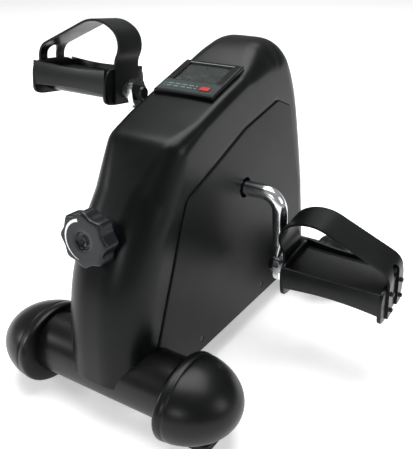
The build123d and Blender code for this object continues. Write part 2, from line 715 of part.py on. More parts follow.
# ---------------------------------------------------------------- brake knob and pad
def brake_knob():
    """Lobed hand knob with a boss that reaches through the shroud and a recessed face."""
    with BuildPart() as knob:
        with BuildSketch(KNOB_AXIS.offset(KNOB_BACK)):
            Circle(KNOB_R - 3)
            with PolarLocations(KNOB_R - 6.5, KNOB_LOBES):
                Circle(6.5)
        extrude(amount=KNOB_FACE - KNOB_BACK)
        fillet(knob.faces().sort_by(Axis.Y)[0].edges(), 1.5)
        with BuildSketch(KNOB_AXIS.offset(KNOB_BACK)):
            Circle(KNOB_STEM_R)
        extrude(amount=-KNOB_STEM_LENGTH)
        with BuildSketch(KNOB_AXIS.offset(KNOB_FACE - 7)):
            Circle(KNOB_RECESS_R)
        extrude(amount=10, mode=Mode.SUBTRACT)
        with BuildSketch(KNOB_AXIS.offset(BRACKET_AT)):
            Circle(SCREW_R)
        extrude(amount=60, mode=Mode.SUBTRACT)
    return knob.part


def tension_screw():
    """Left-hand screw that the knob turns; its collar bears on the frame's bracket."""
    collar_start = BRACKET_AT + UPRIGHT + 0.3
    with BuildPart() as screw:
        with BuildSketch(KNOB_AXIS.offset(SCREW_TIP)):
            Circle(SCREW_R)
        extrude(amount=KNOB_FACE - 7 - SCREW_TIP)
        with BuildSketch(KNOB_AXIS.offset(collar_start)):
            Circle(SCREW_R + 3)
        extrude(amount=3)
    return screw.part


def knob_screw():
    """Domed screw in the knob's recess."""
    with BuildPart() as screw:
        with BuildSketch(KNOB_AXIS.offset(KNOB_FACE - 7)):
            Circle(KNOB_RECESS_R - 1.5)
        extrude(amount=3, taper=25)
    return screw.part


def brake_carrier():
    """Sliding block between the uprights: the screw drives it and it holds the felt pad."""
    back = WHEEL_R + PAD_GAP + PAD_THICK
    with BuildPart() as carrier:
        with BuildSketch(KNOB_AXIS.offset(back)):
            Rectangle(2 * (BEAM_HALF_WIDTH - 0.3), 20)
        extrude(amount=CARRIER_LENGTH)
        with BuildSketch(KNOB_AXIS.offset(back + 4)):
            Circle(SCREW_R + RUNNING)
        extrude(amount=CARRIER_LENGTH, mode=Mode.SUBTRACT)
    return carrier.part


def brake_pad():
    """Felt block that rubs on the wheel's rim."""
    with BuildPart() as pad:
        with BuildSketch(KNOB_AXIS.offset(WHEEL_R + PAD_GAP)):
            Rectangle(WHEEL_WIDTH - 1, 17)
        extrude(amount=PAD_THICK)
    return pad.part


# ---------------------------------------------------------------- speed sensing
def speed_magnet():
    """Small magnet stuck on the wheel's web."""
    with BuildPart() as magnet:
        with BuildSketch(SIDE.offset(2.5)):
            with Locations((HUB_Y, HUB_Z + SENSOR_R)):
                Circle(4)
        extrude(amount=5)
    return magnet.part


def speed_sensor():
    """Reed switch block that the magnet passes once a turn."""
    with BuildPart() as sensor:
        with BuildSketch(Plane.XY.offset(HUB_Z + SENSOR_R - 5)):
            with Locations((SENSOR_X, HUB_Y)):
                RectangleRounded(8, 16, 1.5)
        extrude(amount=10)
    return sensor.part


def sensor_bracket():
    """Tab on the inside of the right upright that the sensor stands on."""
    low = BEARING_R + 1
    high = SENSOR_R - 5
    with BuildPart() as tab:
        with BuildSketch(SIDE.offset(BEAM_HALF_WIDTH - 2)):
            with Locations((HUB_Y, HUB_Z + (low + high) / 2)):
                Rectangle(12, high - low)
        extrude(amount=2)
    return tab.part


# ---------------------------------------------------------------- display
def display_case():
    """Moulded case with a window and a button hole, sunk in the deck."""
    wall = 2.0
    with BuildPart() as case:
        with BuildSketch(DECK.offset(-DISPLAY_DEPTH)):
            Rectangle(2 * DISPLAY_HALF_WIDTH, 2 * DISPLAY_HALF_LENGTH)
        extrude(amount=DISPLAY_DEPTH + DISPLAY_TOP)
        fillet(case.faces().filter_by(lambda face: (face.normal_at() - DECK.z_dir).length < 0.01)
               .edges(), 1.5)
        with BuildSketch(DECK.offset(-DISPLAY_DEPTH + wall)):
            Rectangle(2 * (DISPLAY_HALF_WIDTH - wall), 2 * (DISPLAY_HALF_LENGTH - wall))
        extrude(amount=DISPLAY_DEPTH + DISPLAY_TOP - 2 * wall, mode=Mode.SUBTRACT)
        with BuildSketch(DECK):
            with Locations((0, WINDOW_SHIFT)):
                Rectangle(*WINDOW)
            with Locations(BUTTON_PLACE):
                Rectangle(BUTTON[0] + 0.6, BUTTON[1] + 0.6)
        extrude(amount=20, mode=Mode.SUBTRACT)
        with BuildSketch(DECK.offset(-DISPLAY_DEPTH)):
            with Locations((0, 4)):
                Circle(BATTERY_R + 1.5)
        extrude(amount=wall, mode=Mode.SUBTRACT)
        with BuildSketch(Plane.XY.offset(DECK.origin.Z - DISPLAY_DEPTH - 5)):
            with Locations((CABLE_X, HUB_Y)):
                Circle(CABLE_R + 0.2)
        extrude(amount=14, mode=Mode.SUBTRACT)
    return case.part


def display_lens():
    """Clear window plate, its face level with the case."""
    with BuildPart() as lens:
        with BuildSketch(DECK.offset(DISPLAY_TOP - 2)):
            with Locations((0, WINDOW_SHIFT)):
                Rectangle(*WINDOW)
        extrude(amount=1.4)
    return lens.part


def lcd_panel():
    """Liquid-crystal panel under the window."""
    with BuildPart() as panel:
        with BuildSketch(DECK.offset(DISPLAY_TOP - 4.5)):
            with Locations((0, WINDOW_SHIFT)):
                Rectangle(WINDOW[0] + 4, WINDOW[1] + 2)
        extrude(amount=2.2)
    return panel.part


def display_board():
    """Circuit board under the panel."""
    with BuildPart() as board:
        with BuildSketch(DECK.offset(BOARD_UNDER)):
            Rectangle(2 * DISPLAY_HALF_WIDTH - 4, 2 * DISPLAY_HALF_LENGTH - 4)
        extrude(amount=1.6)
    return board.part


def battery_cell():
    """Button cell below the board."""
    with BuildPart() as cell:
        with BuildSketch(DECK.offset(BOARD_UNDER - 5.4)):
            with Locations((0, 4)):
                Circle(BATTERY_R)
        extrude(amount=5.4)
    return cell.part


def battery_door():
    """Round door under the battery."""
    with BuildPart() as door:
        with BuildSketch(DECK.offset(-DISPLAY_DEPTH)):
            with Locations((0, 4)):
                Circle(BATTERY_R + 1.5)
        extrude(amount=2)
    return door.part


def reset_button():
    """Push button that stands a little proud of the case."""
    with BuildPart() as button:
        with BuildSketch(DECK.offset(DISPLAY_TOP - 2.6)):
            with Locations(BUTTON_PLACE):
                Rectangle(*BUTTON)
        extrude(amount=2.6 + BUTTON_PROUD)
        fillet(button.faces().filter_by(lambda face: (face.normal_at() - DECK.z_dir).length < 0.01)
               .edges(), 0.5)
        with BuildSketch(DECK.offset(DISPLAY_TOP - 3.2)):
            with Locations(BUTTON_PLACE):
                Rectangle(BUTTON[0] + 2, BUTTON[1] + 2)
        extrude(amount=0.9)
    return button.part


def sensor_cable():
    """Thin cable from the sensor up through the display case's floor to the board."""
    foot = HUB_Z + SENSOR_R + 5
    board_middle = DECK.origin + DECK.z_dir * BOARD_UNDER
    head = board_middle.Z + (HUB_Y - CABLE_R - board_middle.Y) * tan(deck_slope)
    with BuildPart() as cable:
        with BuildLine():
            FilletPolyline(
                (SENSOR_X, HUB_Y, foot), (SENSOR_X, HUB_Y, foot + 12),
                (CABLE_X, HUB_Y, foot + 26), (CABLE_X, HUB_Y, head), radius=6,
            )
        with BuildSketch(Plane.XY.offset(foot)):
            with Locations((SENSOR_X, HUB_Y)):
                Circle(CABLE_R)
        sweep()
    return cable.part


def main():
    """Build every piece and write it out."""
    os.makedirs("parts", exist_ok=True)
    save(main_frame(), "main_frame")
    save(floor_bar(FRONT_BAR_Y, FRONT_BAR_Z, FRONT_BAR_R, FRONT_BAR_HALF), "front_bar")
    save(floor_bar(REAR_BAR_Y, REAR_BAR_Z, REAR_BAR_R, REAR_BAR_HALF), "rear_bar")
    save(sole_pads(), "sole_pads")
    save(bar_bolts(), "bar_bolts")
    save(bar_nuts(), "bar_nuts")
    save(crank(), "crank")
    save(brake_wheel(), "brake_wheel")
    save(retaining_rings(), "retaining_rings")
    save(speed_magnet(), "speed_magnet")
    save(speed_sensor(), "speed_sensor")
    save(sensor_bracket(), "sensor_bracket")
    save(sensor_cable(), "sensor_cable")
    save(centre_shroud(), "centre_shroud")
    save(base_tray(), "base_tray")
    save(brake_knob(), "brake_knob")
    save(knob_screw(), "knob_screw")
    save(tension_screw(), "tension_screw")
    save(brake_carrier(), "brake_carrier")
    save(brake_pad(), "brake_pad")
    save(display_case(), "display_case")
    save(display_lens(), "display_lens")
    save(lcd_panel(), "lcd_panel")
    save(display_board(), "display_board")
    save(battery_cell(), "battery_cell")
    save(battery_door(), "battery_door")
    save(reset_button(), "reset_button")
    for word, side in SIDES:
        bearing_start = side * (BEAM_HALF_WIDTH + UPRIGHT)
        bearing = disc(hub_plane(0), BEARING_R, bearing_start, side * BEARING_WIDTH,
                       CRANK_R + RUNNING)
        save(bearing, f"{word}_bearing")
        save(bar_cap(FRONT_CAP, side, FRONT_BAR_Y, FRONT_BAR_Z, FRONT_BAR_R, FRONT_BAR_HALF),
             f"front_{word}_cap")
        save(bar_cap(REAR_CAP, side, REAR_BAR_Y, REAR_BAR_Z, REAR_BAR_R, REAR_BAR_HALF),
             f"rear_{word}_cap")
        save(side_cover(side), f"{word}_side_cover")
        save(cover_screws(side), f"{word}_cover_screws")
        save(pedal_body(side), f"{word}_pedal")
        save(pedal_bushes(side), f"{word}_pedal_bushes")
        save(pedal_spindle(side), f"{word}_pedal_spindle")
        save(spindle_clip(side), f"{word}_spindle_clip")
        save(spindle_nut(side), f"{word}_spindle_nut")
        save(dust_cap(side), f"{word}_dust_cap")
        save(pedal_strap(side), f"{word}_pedal_strap")


main()
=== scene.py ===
# %% [markdown]
# # A pedal exerciser
# The machine is a small floor-standing cycle.  Its steel, bearings and hidden parts come from
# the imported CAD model, which is loaded first and never moved.  The pieces whose shape gives the
# machine its character, the moulded housing, the end caps, the knob and the pedals, are made
# again here as smooth surfaces, each standing for its CAD node.

import json
from math import cos, pi, radians, sin

import bmesh
import bpy
import numpy as np
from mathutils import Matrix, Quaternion, Vector


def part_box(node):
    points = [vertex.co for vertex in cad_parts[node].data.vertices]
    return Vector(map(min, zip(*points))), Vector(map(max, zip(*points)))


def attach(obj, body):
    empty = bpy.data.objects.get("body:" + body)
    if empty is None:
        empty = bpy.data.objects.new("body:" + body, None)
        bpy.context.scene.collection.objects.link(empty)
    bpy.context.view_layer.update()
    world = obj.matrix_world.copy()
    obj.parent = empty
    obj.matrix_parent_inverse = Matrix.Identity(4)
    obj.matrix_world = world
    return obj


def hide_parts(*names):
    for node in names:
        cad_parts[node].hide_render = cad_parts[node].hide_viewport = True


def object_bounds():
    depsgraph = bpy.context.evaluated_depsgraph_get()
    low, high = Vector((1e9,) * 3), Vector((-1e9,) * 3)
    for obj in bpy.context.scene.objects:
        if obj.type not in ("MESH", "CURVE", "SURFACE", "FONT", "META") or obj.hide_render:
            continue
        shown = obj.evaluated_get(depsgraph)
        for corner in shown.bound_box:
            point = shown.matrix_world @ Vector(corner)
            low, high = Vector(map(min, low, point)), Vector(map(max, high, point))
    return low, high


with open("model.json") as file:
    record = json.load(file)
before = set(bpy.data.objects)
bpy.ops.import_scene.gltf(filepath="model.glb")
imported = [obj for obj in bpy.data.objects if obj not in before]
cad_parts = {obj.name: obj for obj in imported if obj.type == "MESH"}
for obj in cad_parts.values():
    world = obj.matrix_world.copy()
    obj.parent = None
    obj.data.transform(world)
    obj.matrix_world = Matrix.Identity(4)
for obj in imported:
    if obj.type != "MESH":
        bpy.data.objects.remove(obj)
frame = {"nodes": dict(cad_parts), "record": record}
nodes = frame["nodes"]
cad_low, cad_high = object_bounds()
MM = 0.001
print("CAD box in mm:", [round(v / MM) for v in (*cad_low, *cad_high)])

# %% [markdown]
# ## How a finish is made
# Every finish is a small graph of nodes.  Moulded plastic, cast iron and paint differ in colour,
# gloss and grain, but share one idea: a fine noise raises tiny bumps, and a broad noise shifts
# roughness and colour a little, as handling and moulding do.  So one function builds that graph
# and each finish is a row of values in real millimetres.


# %% Colour and node helpers
def linear(hex_colour):
    """sRGB hex to linear RGBA: each channel over 12.92 when dark, else a 2.4 power curve."""
    channels = np.array([int(hex_colour[i:i + 2], 16) for i in (1, 3, 5)]) / 255
    curve = np.where(channels <= 0.04045, channels / 12.92, ((channels + 0.055) / 1.055) ** 2.4)
    return (*curve.tolist(), 1.0)


def add_node(tree, kind, settings=None, links=None, **values):
    """Add a node: settings are its properties, values its sockets, links its inputs' sources."""
    node = tree.nodes.new(kind)
    for key, value in (settings or {}).items():
        setattr(node, key, value)
    for key, value in values.items():
        node.inputs[key.replace("_", " ")].default_value = value
    for key, source in (links or {}).items():
        tree.links.new(source, node.inputs[key])
    return node


def new_material(name, **shader_values):
    """A material with a Principled shader; returns the material, its tree and the shader."""
    material = bpy.data.materials.new(name)
    material.use_nodes = True
    tree = material.node_tree
    shader = tree.nodes["Principled BSDF"]
    for key, value in shader_values.items():
        shader.inputs[key.replace("_", " ")].default_value = value
    return material, tree, shader


def grained(name, dark, light, grain_mm, depth_mm, rough, cloud_mm=35, **shader_values):
    """A finish with fine raised grain and broad clouds of colour and gloss.

    Colour = a mix of dark and light by a broad noise; roughness = between the two rough values
    by the same noise; height = fine noise times depth_mm.
    """
    material, tree, shader = new_material(name, **shader_values)
    place = add_node(tree, "ShaderNodeTexCoord").outputs["Object"]
    cloud = add_node(tree, "ShaderNodeTexNoise", links={"Vector": place},
                     Scale=1000 / cloud_mm, Detail=4.0, Roughness=0.6)
    ramp = add_node(tree, "ShaderNodeValToRGB", links={"Fac": cloud.outputs["Fac"]})
    ramp.color_ramp.elements[0].position = 0.35
    ramp.color_ramp.elements[0].color = linear(dark)
    ramp.color_ramp.elements[1].position = 0.65
    ramp.color_ramp.elements[1].color = linear(light)
    tree.links.new(ramp.outputs["Color"], shader.inputs["Base Color"])
    gloss = add_node(tree, "ShaderNodeMapRange", links={"Value": cloud.outputs["Fac"]},
                     From_Min=0.3, From_Max=0.7, To_Min=rough[0], To_Max=rough[1])
    tree.links.new(gloss.outputs["Result"], shader.inputs["Roughness"])
    grain = add_node(tree, "ShaderNodeTexNoise", links={"Vector": place},
                     Scale=1000 / grain_mm, Detail=2.0, Roughness=0.5)
    bump = add_node(tree, "ShaderNodeBump", links={"Height": grain.outputs["Fac"]},
                    Distance=depth_mm * MM, Strength=1.0)
    tree.links.new(bump.outputs["Normal"], shader.inputs["Normal"])
    return material


# %% [markdown]
# ## The finishes
# The housing, caps and pedals are injection-moulded ABS in black, with a satin skin that shows
# broad soft highlights.  The bars are powder coated, a touch glossier.  The crank is bright
# chrome over bent rod.  Each grain size is the real one or, where that is too fine to show, the
# finest that does.

# %% Finishes for each material slot
finishes = {
    "housing_plastic": grained("abs_moulded_satin_black", "#030405", "#060808",
                               0.8, 0.010, (0.30, 0.36), Specular_IOR_Level=0.18),
    "cover_plastic": grained("abs_moulded_fine_satin_black", "#020304", "#050607",
                             0.8, 0.012, (0.38, 0.44), Specular_IOR_Level=0.14),
    "cap_plastic": grained("polypropylene_moulded_black", "#030404", "#060707",
                           0.9, 0.02, (0.30, 0.37), Specular_IOR_Level=0.24),
    "tray_plastic": grained("polypropylene_moulded_matt_black", "#18181a", "#222224",
                            1.2, 0.04, (0.55, 0.65)),
    "carrier_plastic": grained("nylon_moulded_dark", "#1d1d1f", "#2a2a2c",
                               1.2, 0.03, (0.5, 0.6)),
    "pedal_plastic": grained("polypropylene_moulded_grey_black", "#040606", "#090c0c",
                             1.0, 0.02, (0.30, 0.40), Specular_IOR_Level=0.25),
    "knob_plastic": grained("abs_moulded_slate", "#090d10", "#0f1418",
                            0.8, 0.012, (0.28, 0.36), Specular_IOR_Level=0.3),
    "bezel_plastic": grained("abs_moulded_gloss_black", "#040506", "#08090a",
                              0.7, 0.006, (0.22, 0.3), Specular_IOR_Level=0.25),
    "bar_paint": grained("steel_powder_coated_black", "#030304", "#060607",
                         1.1, 0.02, (0.28, 0.36), Specular_IOR_Level=0.28),
    "frame_paint": grained("steel_powder_coated_dark", "#161618", "#1e1e20",
                           1.3, 0.03, (0.35, 0.45)),
    "black_steel": grained("steel_black_oxide", "#070708", "#0d0d0e",
                           0.9, 0.02, (0.3, 0.42), Specular_IOR_Level=0.3),
    "pad_rubber": grained("rubber_moulded_black", "#101010", "#191919",
                          0.9, 0.05, (0.7, 0.85)),
    "strap_vinyl": grained("pvc_pressed_satin_black", "#030505", "#070909",
                           1.0, 0.02, (0.32, 0.42), Specular_IOR_Level=0.25),
    "cable_pvc": grained("pvc_extruded_black", "#101010", "#181818",
                         1.5, 0.02, (0.4, 0.5)),
    "crank_chrome": grained("steel_chrome_plated", "#d9dcdf", "#e6e8ea",
                            2.5, 0.002, (0.16, 0.22), Metallic=1.0),
    "zinc_steel": grained("steel_zinc_plated", "#a9adb0", "#c4c7c9",
                          0.8, 0.01, (0.25, 0.38), Metallic=1.0),
    "bearing_steel": grained("steel_ground", "#9a9da0", "#b3b6b8",
                             0.8, 0.008, (0.22, 0.32), Metallic=1.0),
    "magnet": grained("nickel_plated_magnet", "#a5a6a8", "#bcbdbf",
                      0.8, 0.005, (0.18, 0.28), Metallic=1.0),
    "battery_steel": grained("steel_stamped_bright", "#b7b9ba", "#cfd0d1",
                             0.8, 0.005, (0.2, 0.3), Metallic=1.0),
    "wheel_iron": grained("iron_cast_turned", "#3a3a3c", "#4b4b4d",
                          1.2, 0.06, (0.45, 0.6), Metallic=0.9),
    "bush_plastic": grained("acetal_turned_natural", "#d8d6cd", "#e6e4dc",
                            1.0, 0.01, (0.3, 0.4)),
    "brake_felt": grained("wool_pressed_felt", "#8d877b", "#a59f92",
                          0.6, 0.25, (0.9, 1.0)),
    "board_laminate": grained("glass_epoxy_solder_mask", "#0d3a1c", "#124a25",
                              1.5, 0.02, (0.3, 0.4)),
    "button_red": grained("abs_moulded_red", "#9c1a16", "#b3221c",
                          0.7, 0.01, (0.3, 0.38)),
    "lcd_glass": grained("liquid_crystal_reflective", "#222b2f", "#2b353a",
                         1.0, 0.002, (0.25, 0.3)),
}
window_acrylic, _, _ = new_material(
    "acrylic_cast_clear", Transmission_Weight=1.0, IOR=1.49, Roughness=0.05,
    Base_Color=linear("#dfe5e0"),
)
finishes["lens_clear"] = window_acrylic
print(len(finishes), "finishes")

# %% [markdown]
# ## Print on the finishes
# The display's strip and legends, the liquid crystal's figures and the arc on the knob are flat
# ink, far thinner than any surface worth modelling.  They could be separate sheets, but a sheet
# so close to a face flickers.  So each is a mask worked out from object coordinates in
# millimetres, and the mask swaps the base colour of the finish below it.


# %% Print helpers
def calculate(tree, operation, *terms):
    """A math node: each term is a number or another node's output."""
    node = add_node(tree, "ShaderNodeMath", {"operation": operation})
    for socket, term in zip(node.inputs, terms):
        if isinstance(term, (int, float)):
            socket.default_value = term
        else:
            tree.links.new(term, socket)
    return node.outputs[0]


def between(tree, value, low, high):
    """One where value lies between low and high, zero elsewhere: a product of two steps."""
    return calculate(tree, "MULTIPLY", calculate(tree, "GREATER_THAN", value, low),
                     calculate(tree, "LESS_THAN", value, high))


def in_box(tree, across, along, half_width, low, high):
    """One inside a rectangle centred across and running from low to high along."""
    return calculate(tree, "MULTIPLY", between(tree, along, low, high),
                     between(tree, across, -half_width, half_width))


def stripes(tree, value, turns_per_mm, threshold):
    """One wherever the sine of a place times turns_per_mm is over a threshold."""
    wave = calculate(tree, "SINE", calculate(tree, "MULTIPLY", value, turns_per_mm))
    return calculate(tree, "GREATER_THAN", wave, threshold)


def axes_mm(tree):
    """The X, Y and Z object coordinates in millimetres."""
    place = add_node(tree, "ShaderNodeTexCoord").outputs["Object"]
    split = add_node(tree, "ShaderNodeSeparateXYZ", links={"Vector": place})
    return [calculate(tree, "DIVIDE", axis, MM) for axis in split.outputs]


def print_over(material, mask, hex_colour):
    """Lay a printed colour over a finish's base colour wherever mask is one."""
    tree = material.node_tree
    colour = tree.nodes["Principled BSDF"].inputs["Base Color"]
    under = colour.links[0].from_socket
    mix = add_node(tree, "ShaderNodeMix", {"data_type": "RGBA"})
    tree.links.new(mask, mix.inputs["Factor"])
    tree.links.new(under, mix.inputs["A"])
    mix.inputs["B"].default_value = linear(hex_colour)
    tree.links.new(mix.outputs["Result"], colour)


# %% Display case print
STRIP_HALF, STRIP_FRONT, STRIP_BACK = 30.5, -18.2, -1.2
PRINT_ROWS = [(-8.6, -7.2), (-12.4, -11.2)]
PRINT_LEFT, PRINT_RIGHT = -27, 9
STROKE_TURNS, WORD_TURNS = 5.1, 0.83  # in radians a mm: strokes 1.2 mm and words 7.6 mm apart
LINE_HALF, LINE_FRONT, LINE_BACK = 25, 31.3, 32.0
case = finishes["bezel_plastic"]
case_tree = case.node_tree
case_x, case_y, _ = axes_mm(case_tree)
print_over(case, in_box(case_tree, case_x, case_y, STRIP_HALF, STRIP_FRONT, STRIP_BACK), "#2f3a39")
strokes = stripes(case_tree, case_x, STROKE_TURNS, -0.2)
words = stripes(case_tree, case_x, WORD_TURNS, -0.6)
rows = calculate(case_tree, "ADD", *(between(case_tree, case_y, *row) for row in PRINT_ROWS))
marks = calculate(case_tree, "MULTIPLY", calculate(case_tree, "MULTIPLY", strokes, words),
                  calculate(case_tree, "MULTIPLY", rows,
                            between(case_tree, case_x, PRINT_LEFT, PRINT_RIGHT)))
print_over(case, marks, "#8d9a99")
print_over(case, in_box(case_tree, case_x, case_y, LINE_HALF, LINE_FRONT, LINE_BACK), "#8f9896")

# %% Figures on the liquid crystal
FIGURE_PITCH, FIGURES_HALF = 9.0, 18.0
UPRIGHT_NEAR, UPRIGHT_FAR = 2.2, 3.1
UPRIGHT_FRONT, UPRIGHT_BACK = 7.2, 21.6
CROSSBARS = [(6.6, 7.7), (13.9, 15.0), (21.1, 22.2)]
CROSSBAR_HALF = 2.6
glass_tree = finishes["lcd_glass"].node_tree
glass_x, glass_y, _ = axes_mm(glass_tree)
repeat = calculate(glass_tree, "FLOORED_MODULO",
                   calculate(glass_tree, "ADD", glass_x, FIGURES_HALF), FIGURE_PITCH)
figure_side = calculate(glass_tree, "ABSOLUTE",
                        calculate(glass_tree, "SUBTRACT", repeat, FIGURE_PITCH / 2))
uprights = calculate(glass_tree, "MULTIPLY",
                     between(glass_tree, figure_side, UPRIGHT_NEAR, UPRIGHT_FAR),
                     between(glass_tree, glass_y, UPRIGHT_FRONT, UPRIGHT_BACK))
front_bar, middle_bar, back_bar = (between(glass_tree, glass_y, *bar) for bar in CROSSBARS)
bars = calculate(glass_tree, "ADD", calculate(glass_tree, "ADD", front_bar, middle_bar), back_bar)
crossbars = calculate(glass_tree, "MULTIPLY", bars,
                      calculate(glass_tree, "LESS_THAN", figure_side, CROSSBAR_HALF))
digits = calculate(glass_tree, "MULTIPLY", calculate(glass_tree, "MAXIMUM", uprights, crossbars),
                   between(glass_tree, glass_x, -FIGURES_HALF, FIGURES_HALF))
print_over(finishes["lcd_glass"], digits, "#11171a")

# %% Arc of the knob, and painted shade in its recess
# The arc tapers along its turn, measured in radians from the -X side.  It and the painted shade
# in the recess lie on the knob's face only.
FACE_Z, FACE_Y, RECESS_Y = 183.4, -163.0, -160.0
ARC_RADIUS, RECESS_RADIUS = 18.2, 7.9
ARC_START, ARC_END = -1.35, 1.3
TAPER_SLOPE, TAPER_MIDDLE = -0.45, 0.75
knob = finishes["knob_plastic"]
knob_tree = knob.node_tree
knob_x, knob_y, knob_z = axes_mm(knob_tree)
knob_height = calculate(knob_tree, "SUBTRACT", knob_z, FACE_Z)
squares = [calculate(knob_tree, "POWER", calculate(knob_tree, "ABSOLUTE", part), 2.0)
           for part in (knob_x, knob_height)]
knob_reach = calculate(knob_tree, "SQRT", calculate(knob_tree, "ADD", *squares))
knob_turn = calculate(knob_tree, "ARCTAN2", calculate(knob_tree, "MULTIPLY", knob_height, -1.0),
                      calculate(knob_tree, "MULTIPLY", knob_x, -1.0))
taper = calculate(knob_tree, "MULTIPLY_ADD", knob_turn, TAPER_SLOPE, TAPER_MIDDLE)
off_line = calculate(knob_tree, "ABSOLUTE",
                     calculate(knob_tree, "SUBTRACT", knob_reach, ARC_RADIUS))
arc = calculate(knob_tree, "MULTIPLY", calculate(knob_tree, "LESS_THAN", off_line, taper),
                between(knob_tree, knob_turn, ARC_START, ARC_END))
print_over(knob, calculate(knob_tree, "MULTIPLY", arc,
                           calculate(knob_tree, "LESS_THAN", knob_y, FACE_Y)), "#e8ecec")
# Painted shade: the knob's recess is coloured near black to stand in for the shade inside it.
print_over(knob, calculate(knob_tree, "MULTIPLY",
                           calculate(knob_tree, "LESS_THAN", knob_reach, RECESS_RADIUS),
                           calculate(knob_tree, "LESS_THAN", knob_y, RECESS_Y)), "#030303")

# %% Give every CAD node its finish
for entry in frame["record"]["subparts"]:
    node_mesh = nodes[entry["node"]].data
    node_mesh.materials.clear()
    node_mesh.materials.append(finishes[entry["material_slot"]])
print(len(nodes), "CAD nodes painted")

# %% [markdown]
# ## Surfaces from formulas
# A moulded shape is easiest to get right as a function of two parameters.  The function fills a
# grid of points, and one helper turns any such grid into a mesh, closing it round a ring where
# asked.  The piece is then tied to its CAD body, so that it moves with it.


# %% Grid helpers
def grid_faces(rows, columns, ring_rows=False, ring_columns=False):
    """Corner numbers of the quads between neighbouring rows and columns of a point grid."""
    row = np.arange(rows if ring_rows else rows - 1)[:, None]
    column = np.arange(columns if ring_columns else columns - 1)[None, :]
    next_row = (row + 1) % rows
    next_column = (column + 1) % columns
    corners = [row * columns + column, next_row * columns + column,
               next_row * columns + next_column, row * columns + next_column]
    return np.stack([corner.ravel() for corner in np.broadcast_arrays(*corners)], axis=1)


def finish_piece(name, mesh, body, slot, replaced=(), smooth=True):
    """Make the mesh an object in its slot's finish, riding on a body, for the CAD nodes named."""
    mesh.materials.append(finishes[slot])
    mesh.polygons.foreach_set("use_smooth", np.full(len(mesh.polygons), smooth))
    piece = bpy.data.objects.new(name, mesh)
    bpy.context.scene.collection.objects.link(piece)
    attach(piece, body)
    if replaced:
        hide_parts(*replaced)
    return piece


def grid_piece(name, points_mm, body, slot, replaced=(), rings=(False, False)):
    """A piece from one grid of points in mm; rings says which directions close on themselves."""
    rows, columns, _ = points_mm.shape
    mesh = bpy.data.meshes.new(name)
    faces = grid_faces(rows, columns, *rings)
    mesh.from_pydata((points_mm.reshape(-1, 3) * MM).tolist(), [], faces.tolist())
    tidy_mesh(mesh)
    piece = finish_piece(name, mesh, body, slot, replaced)
    print(f"{name}: {len(mesh.polygons)} faces")
    return piece


def tidy_mesh(mesh, gap_mm=0.01):
    """Merge points that coincide, as at a pole, and turn every face outwards."""
    work = bmesh.new()
    work.from_mesh(mesh)
    bmesh.ops.remove_doubles(work, verts=work.verts, dist=gap_mm * MM)
    bmesh.ops.recalc_face_normals(work, faces=work.faces)
    work.to_mesh(mesh)
    work.free()


def add_wall(piece, thickness_mm, offset=-1.0):
    """Give an open surface its wall, on the inside."""
    wall = piece.modifiers.new("wall", "SOLIDIFY")
    wall.thickness = thickness_mm * MM
    wall.offset = offset
    wall.use_even_offset = False
    return wall


def round_edges(piece, width_mm, segments=2):
    """Round a piece's sharp edges."""
    bevel = piece.modifiers.new("edges", "BEVEL")
    bevel.width = width_mm * MM
    bevel.segments = segments
    bevel.limit_method = "ANGLE"
    bevel.angle_limit = radians(40)
    return bevel


# %% A smooth curve through places
def curve_through(places, count):
    """A cubic spline on chord length through places, with free ends, at count even steps.

    The second derivatives solve the usual three-term balance at each inner place, and are zero
    at both ends; each span is then a cubic of its end values and end second derivatives.
    """
    places = np.asarray(places, float)
    steps = np.linalg.norm(np.diff(places, axis=0), axis=1)
    knots = np.concatenate([[0], np.cumsum(steps)])
    size = len(places)
    balance = np.eye(size)
    pull = np.zeros_like(places)
    inner = np.arange(1, size - 1)
    balance[inner, inner - 1] = steps[:-1]
    balance[inner, inner] = 2 * (steps[:-1] + steps[1:])
    balance[inner, inner + 1] = steps[1:]
    slopes = np.diff(places, axis=0) / steps[:, None]
    pull[inner] = 6 * np.diff(slopes, axis=0)
    bend = np.linalg.solve(balance, pull)
    at = np.linspace(0, knots[-1], count)
    span = np.clip(np.searchsorted(knots, at, side="right") - 1, 0, size - 2)
    width = steps[span][:, None]
    before = (at - knots[span])[:, None]
    after = width - before
    return ((bend[span] * after**3 + bend[span + 1] * before**3) / (6 * width)
            + (places[span] / width - bend[span] * width / 6) * after
            + (places[span + 1] / width - bend[span + 1] * width / 6) * before)


def headings(path):
    """Unit directions along a path of points: the difference of each point's neighbours."""
    along = np.gradient(path, axis=0)
    return along / np.linalg.norm(along, axis=1, keepdims=True)


# %% [markdown]
# ## The housing
# On the real machine one moulded shell runs up the front as a near half-round column, turns over
# a knee into a flat deck for the display, swells into a hump and runs down the back.  It could be
# cut and rounded from a block, but the rounding changes all the way along.  So it is lofted: a
# side-view curve carries a cross-section whose corner radius is large on the column, small at the
# deck and large again on the hump.

# %% Housing outlines, side view
SKIN = [(-171, 42), (-171, 70), (-169, 95), (-162, 130), (-150, 160), (-136, 184), (-121, 203),
        (-105, 223), (-92, 239), (-86, 245), (-76, 249.5), (-60, 254), (-25, 264.8), (10, 275.3),
        (37, 284), (58, 295), (83, 303.5), (106, 300), (124, 283), (141, 252), (155, 205),
        (167, 150), (176, 90), (183, 28)]
WINDOW_CORNERS = [(-133, 10), (-131, 71), (-80, 195), (23, 233), (88, 245), (118, 232),
                  (147, 130), (160.5, 10)]
WINDOW_ROUND = 10.0
SHELL_HEART = np.array([5.0, 95.0])
HALF_WIDTH = 42.5
SHELL_WALL = 2.5


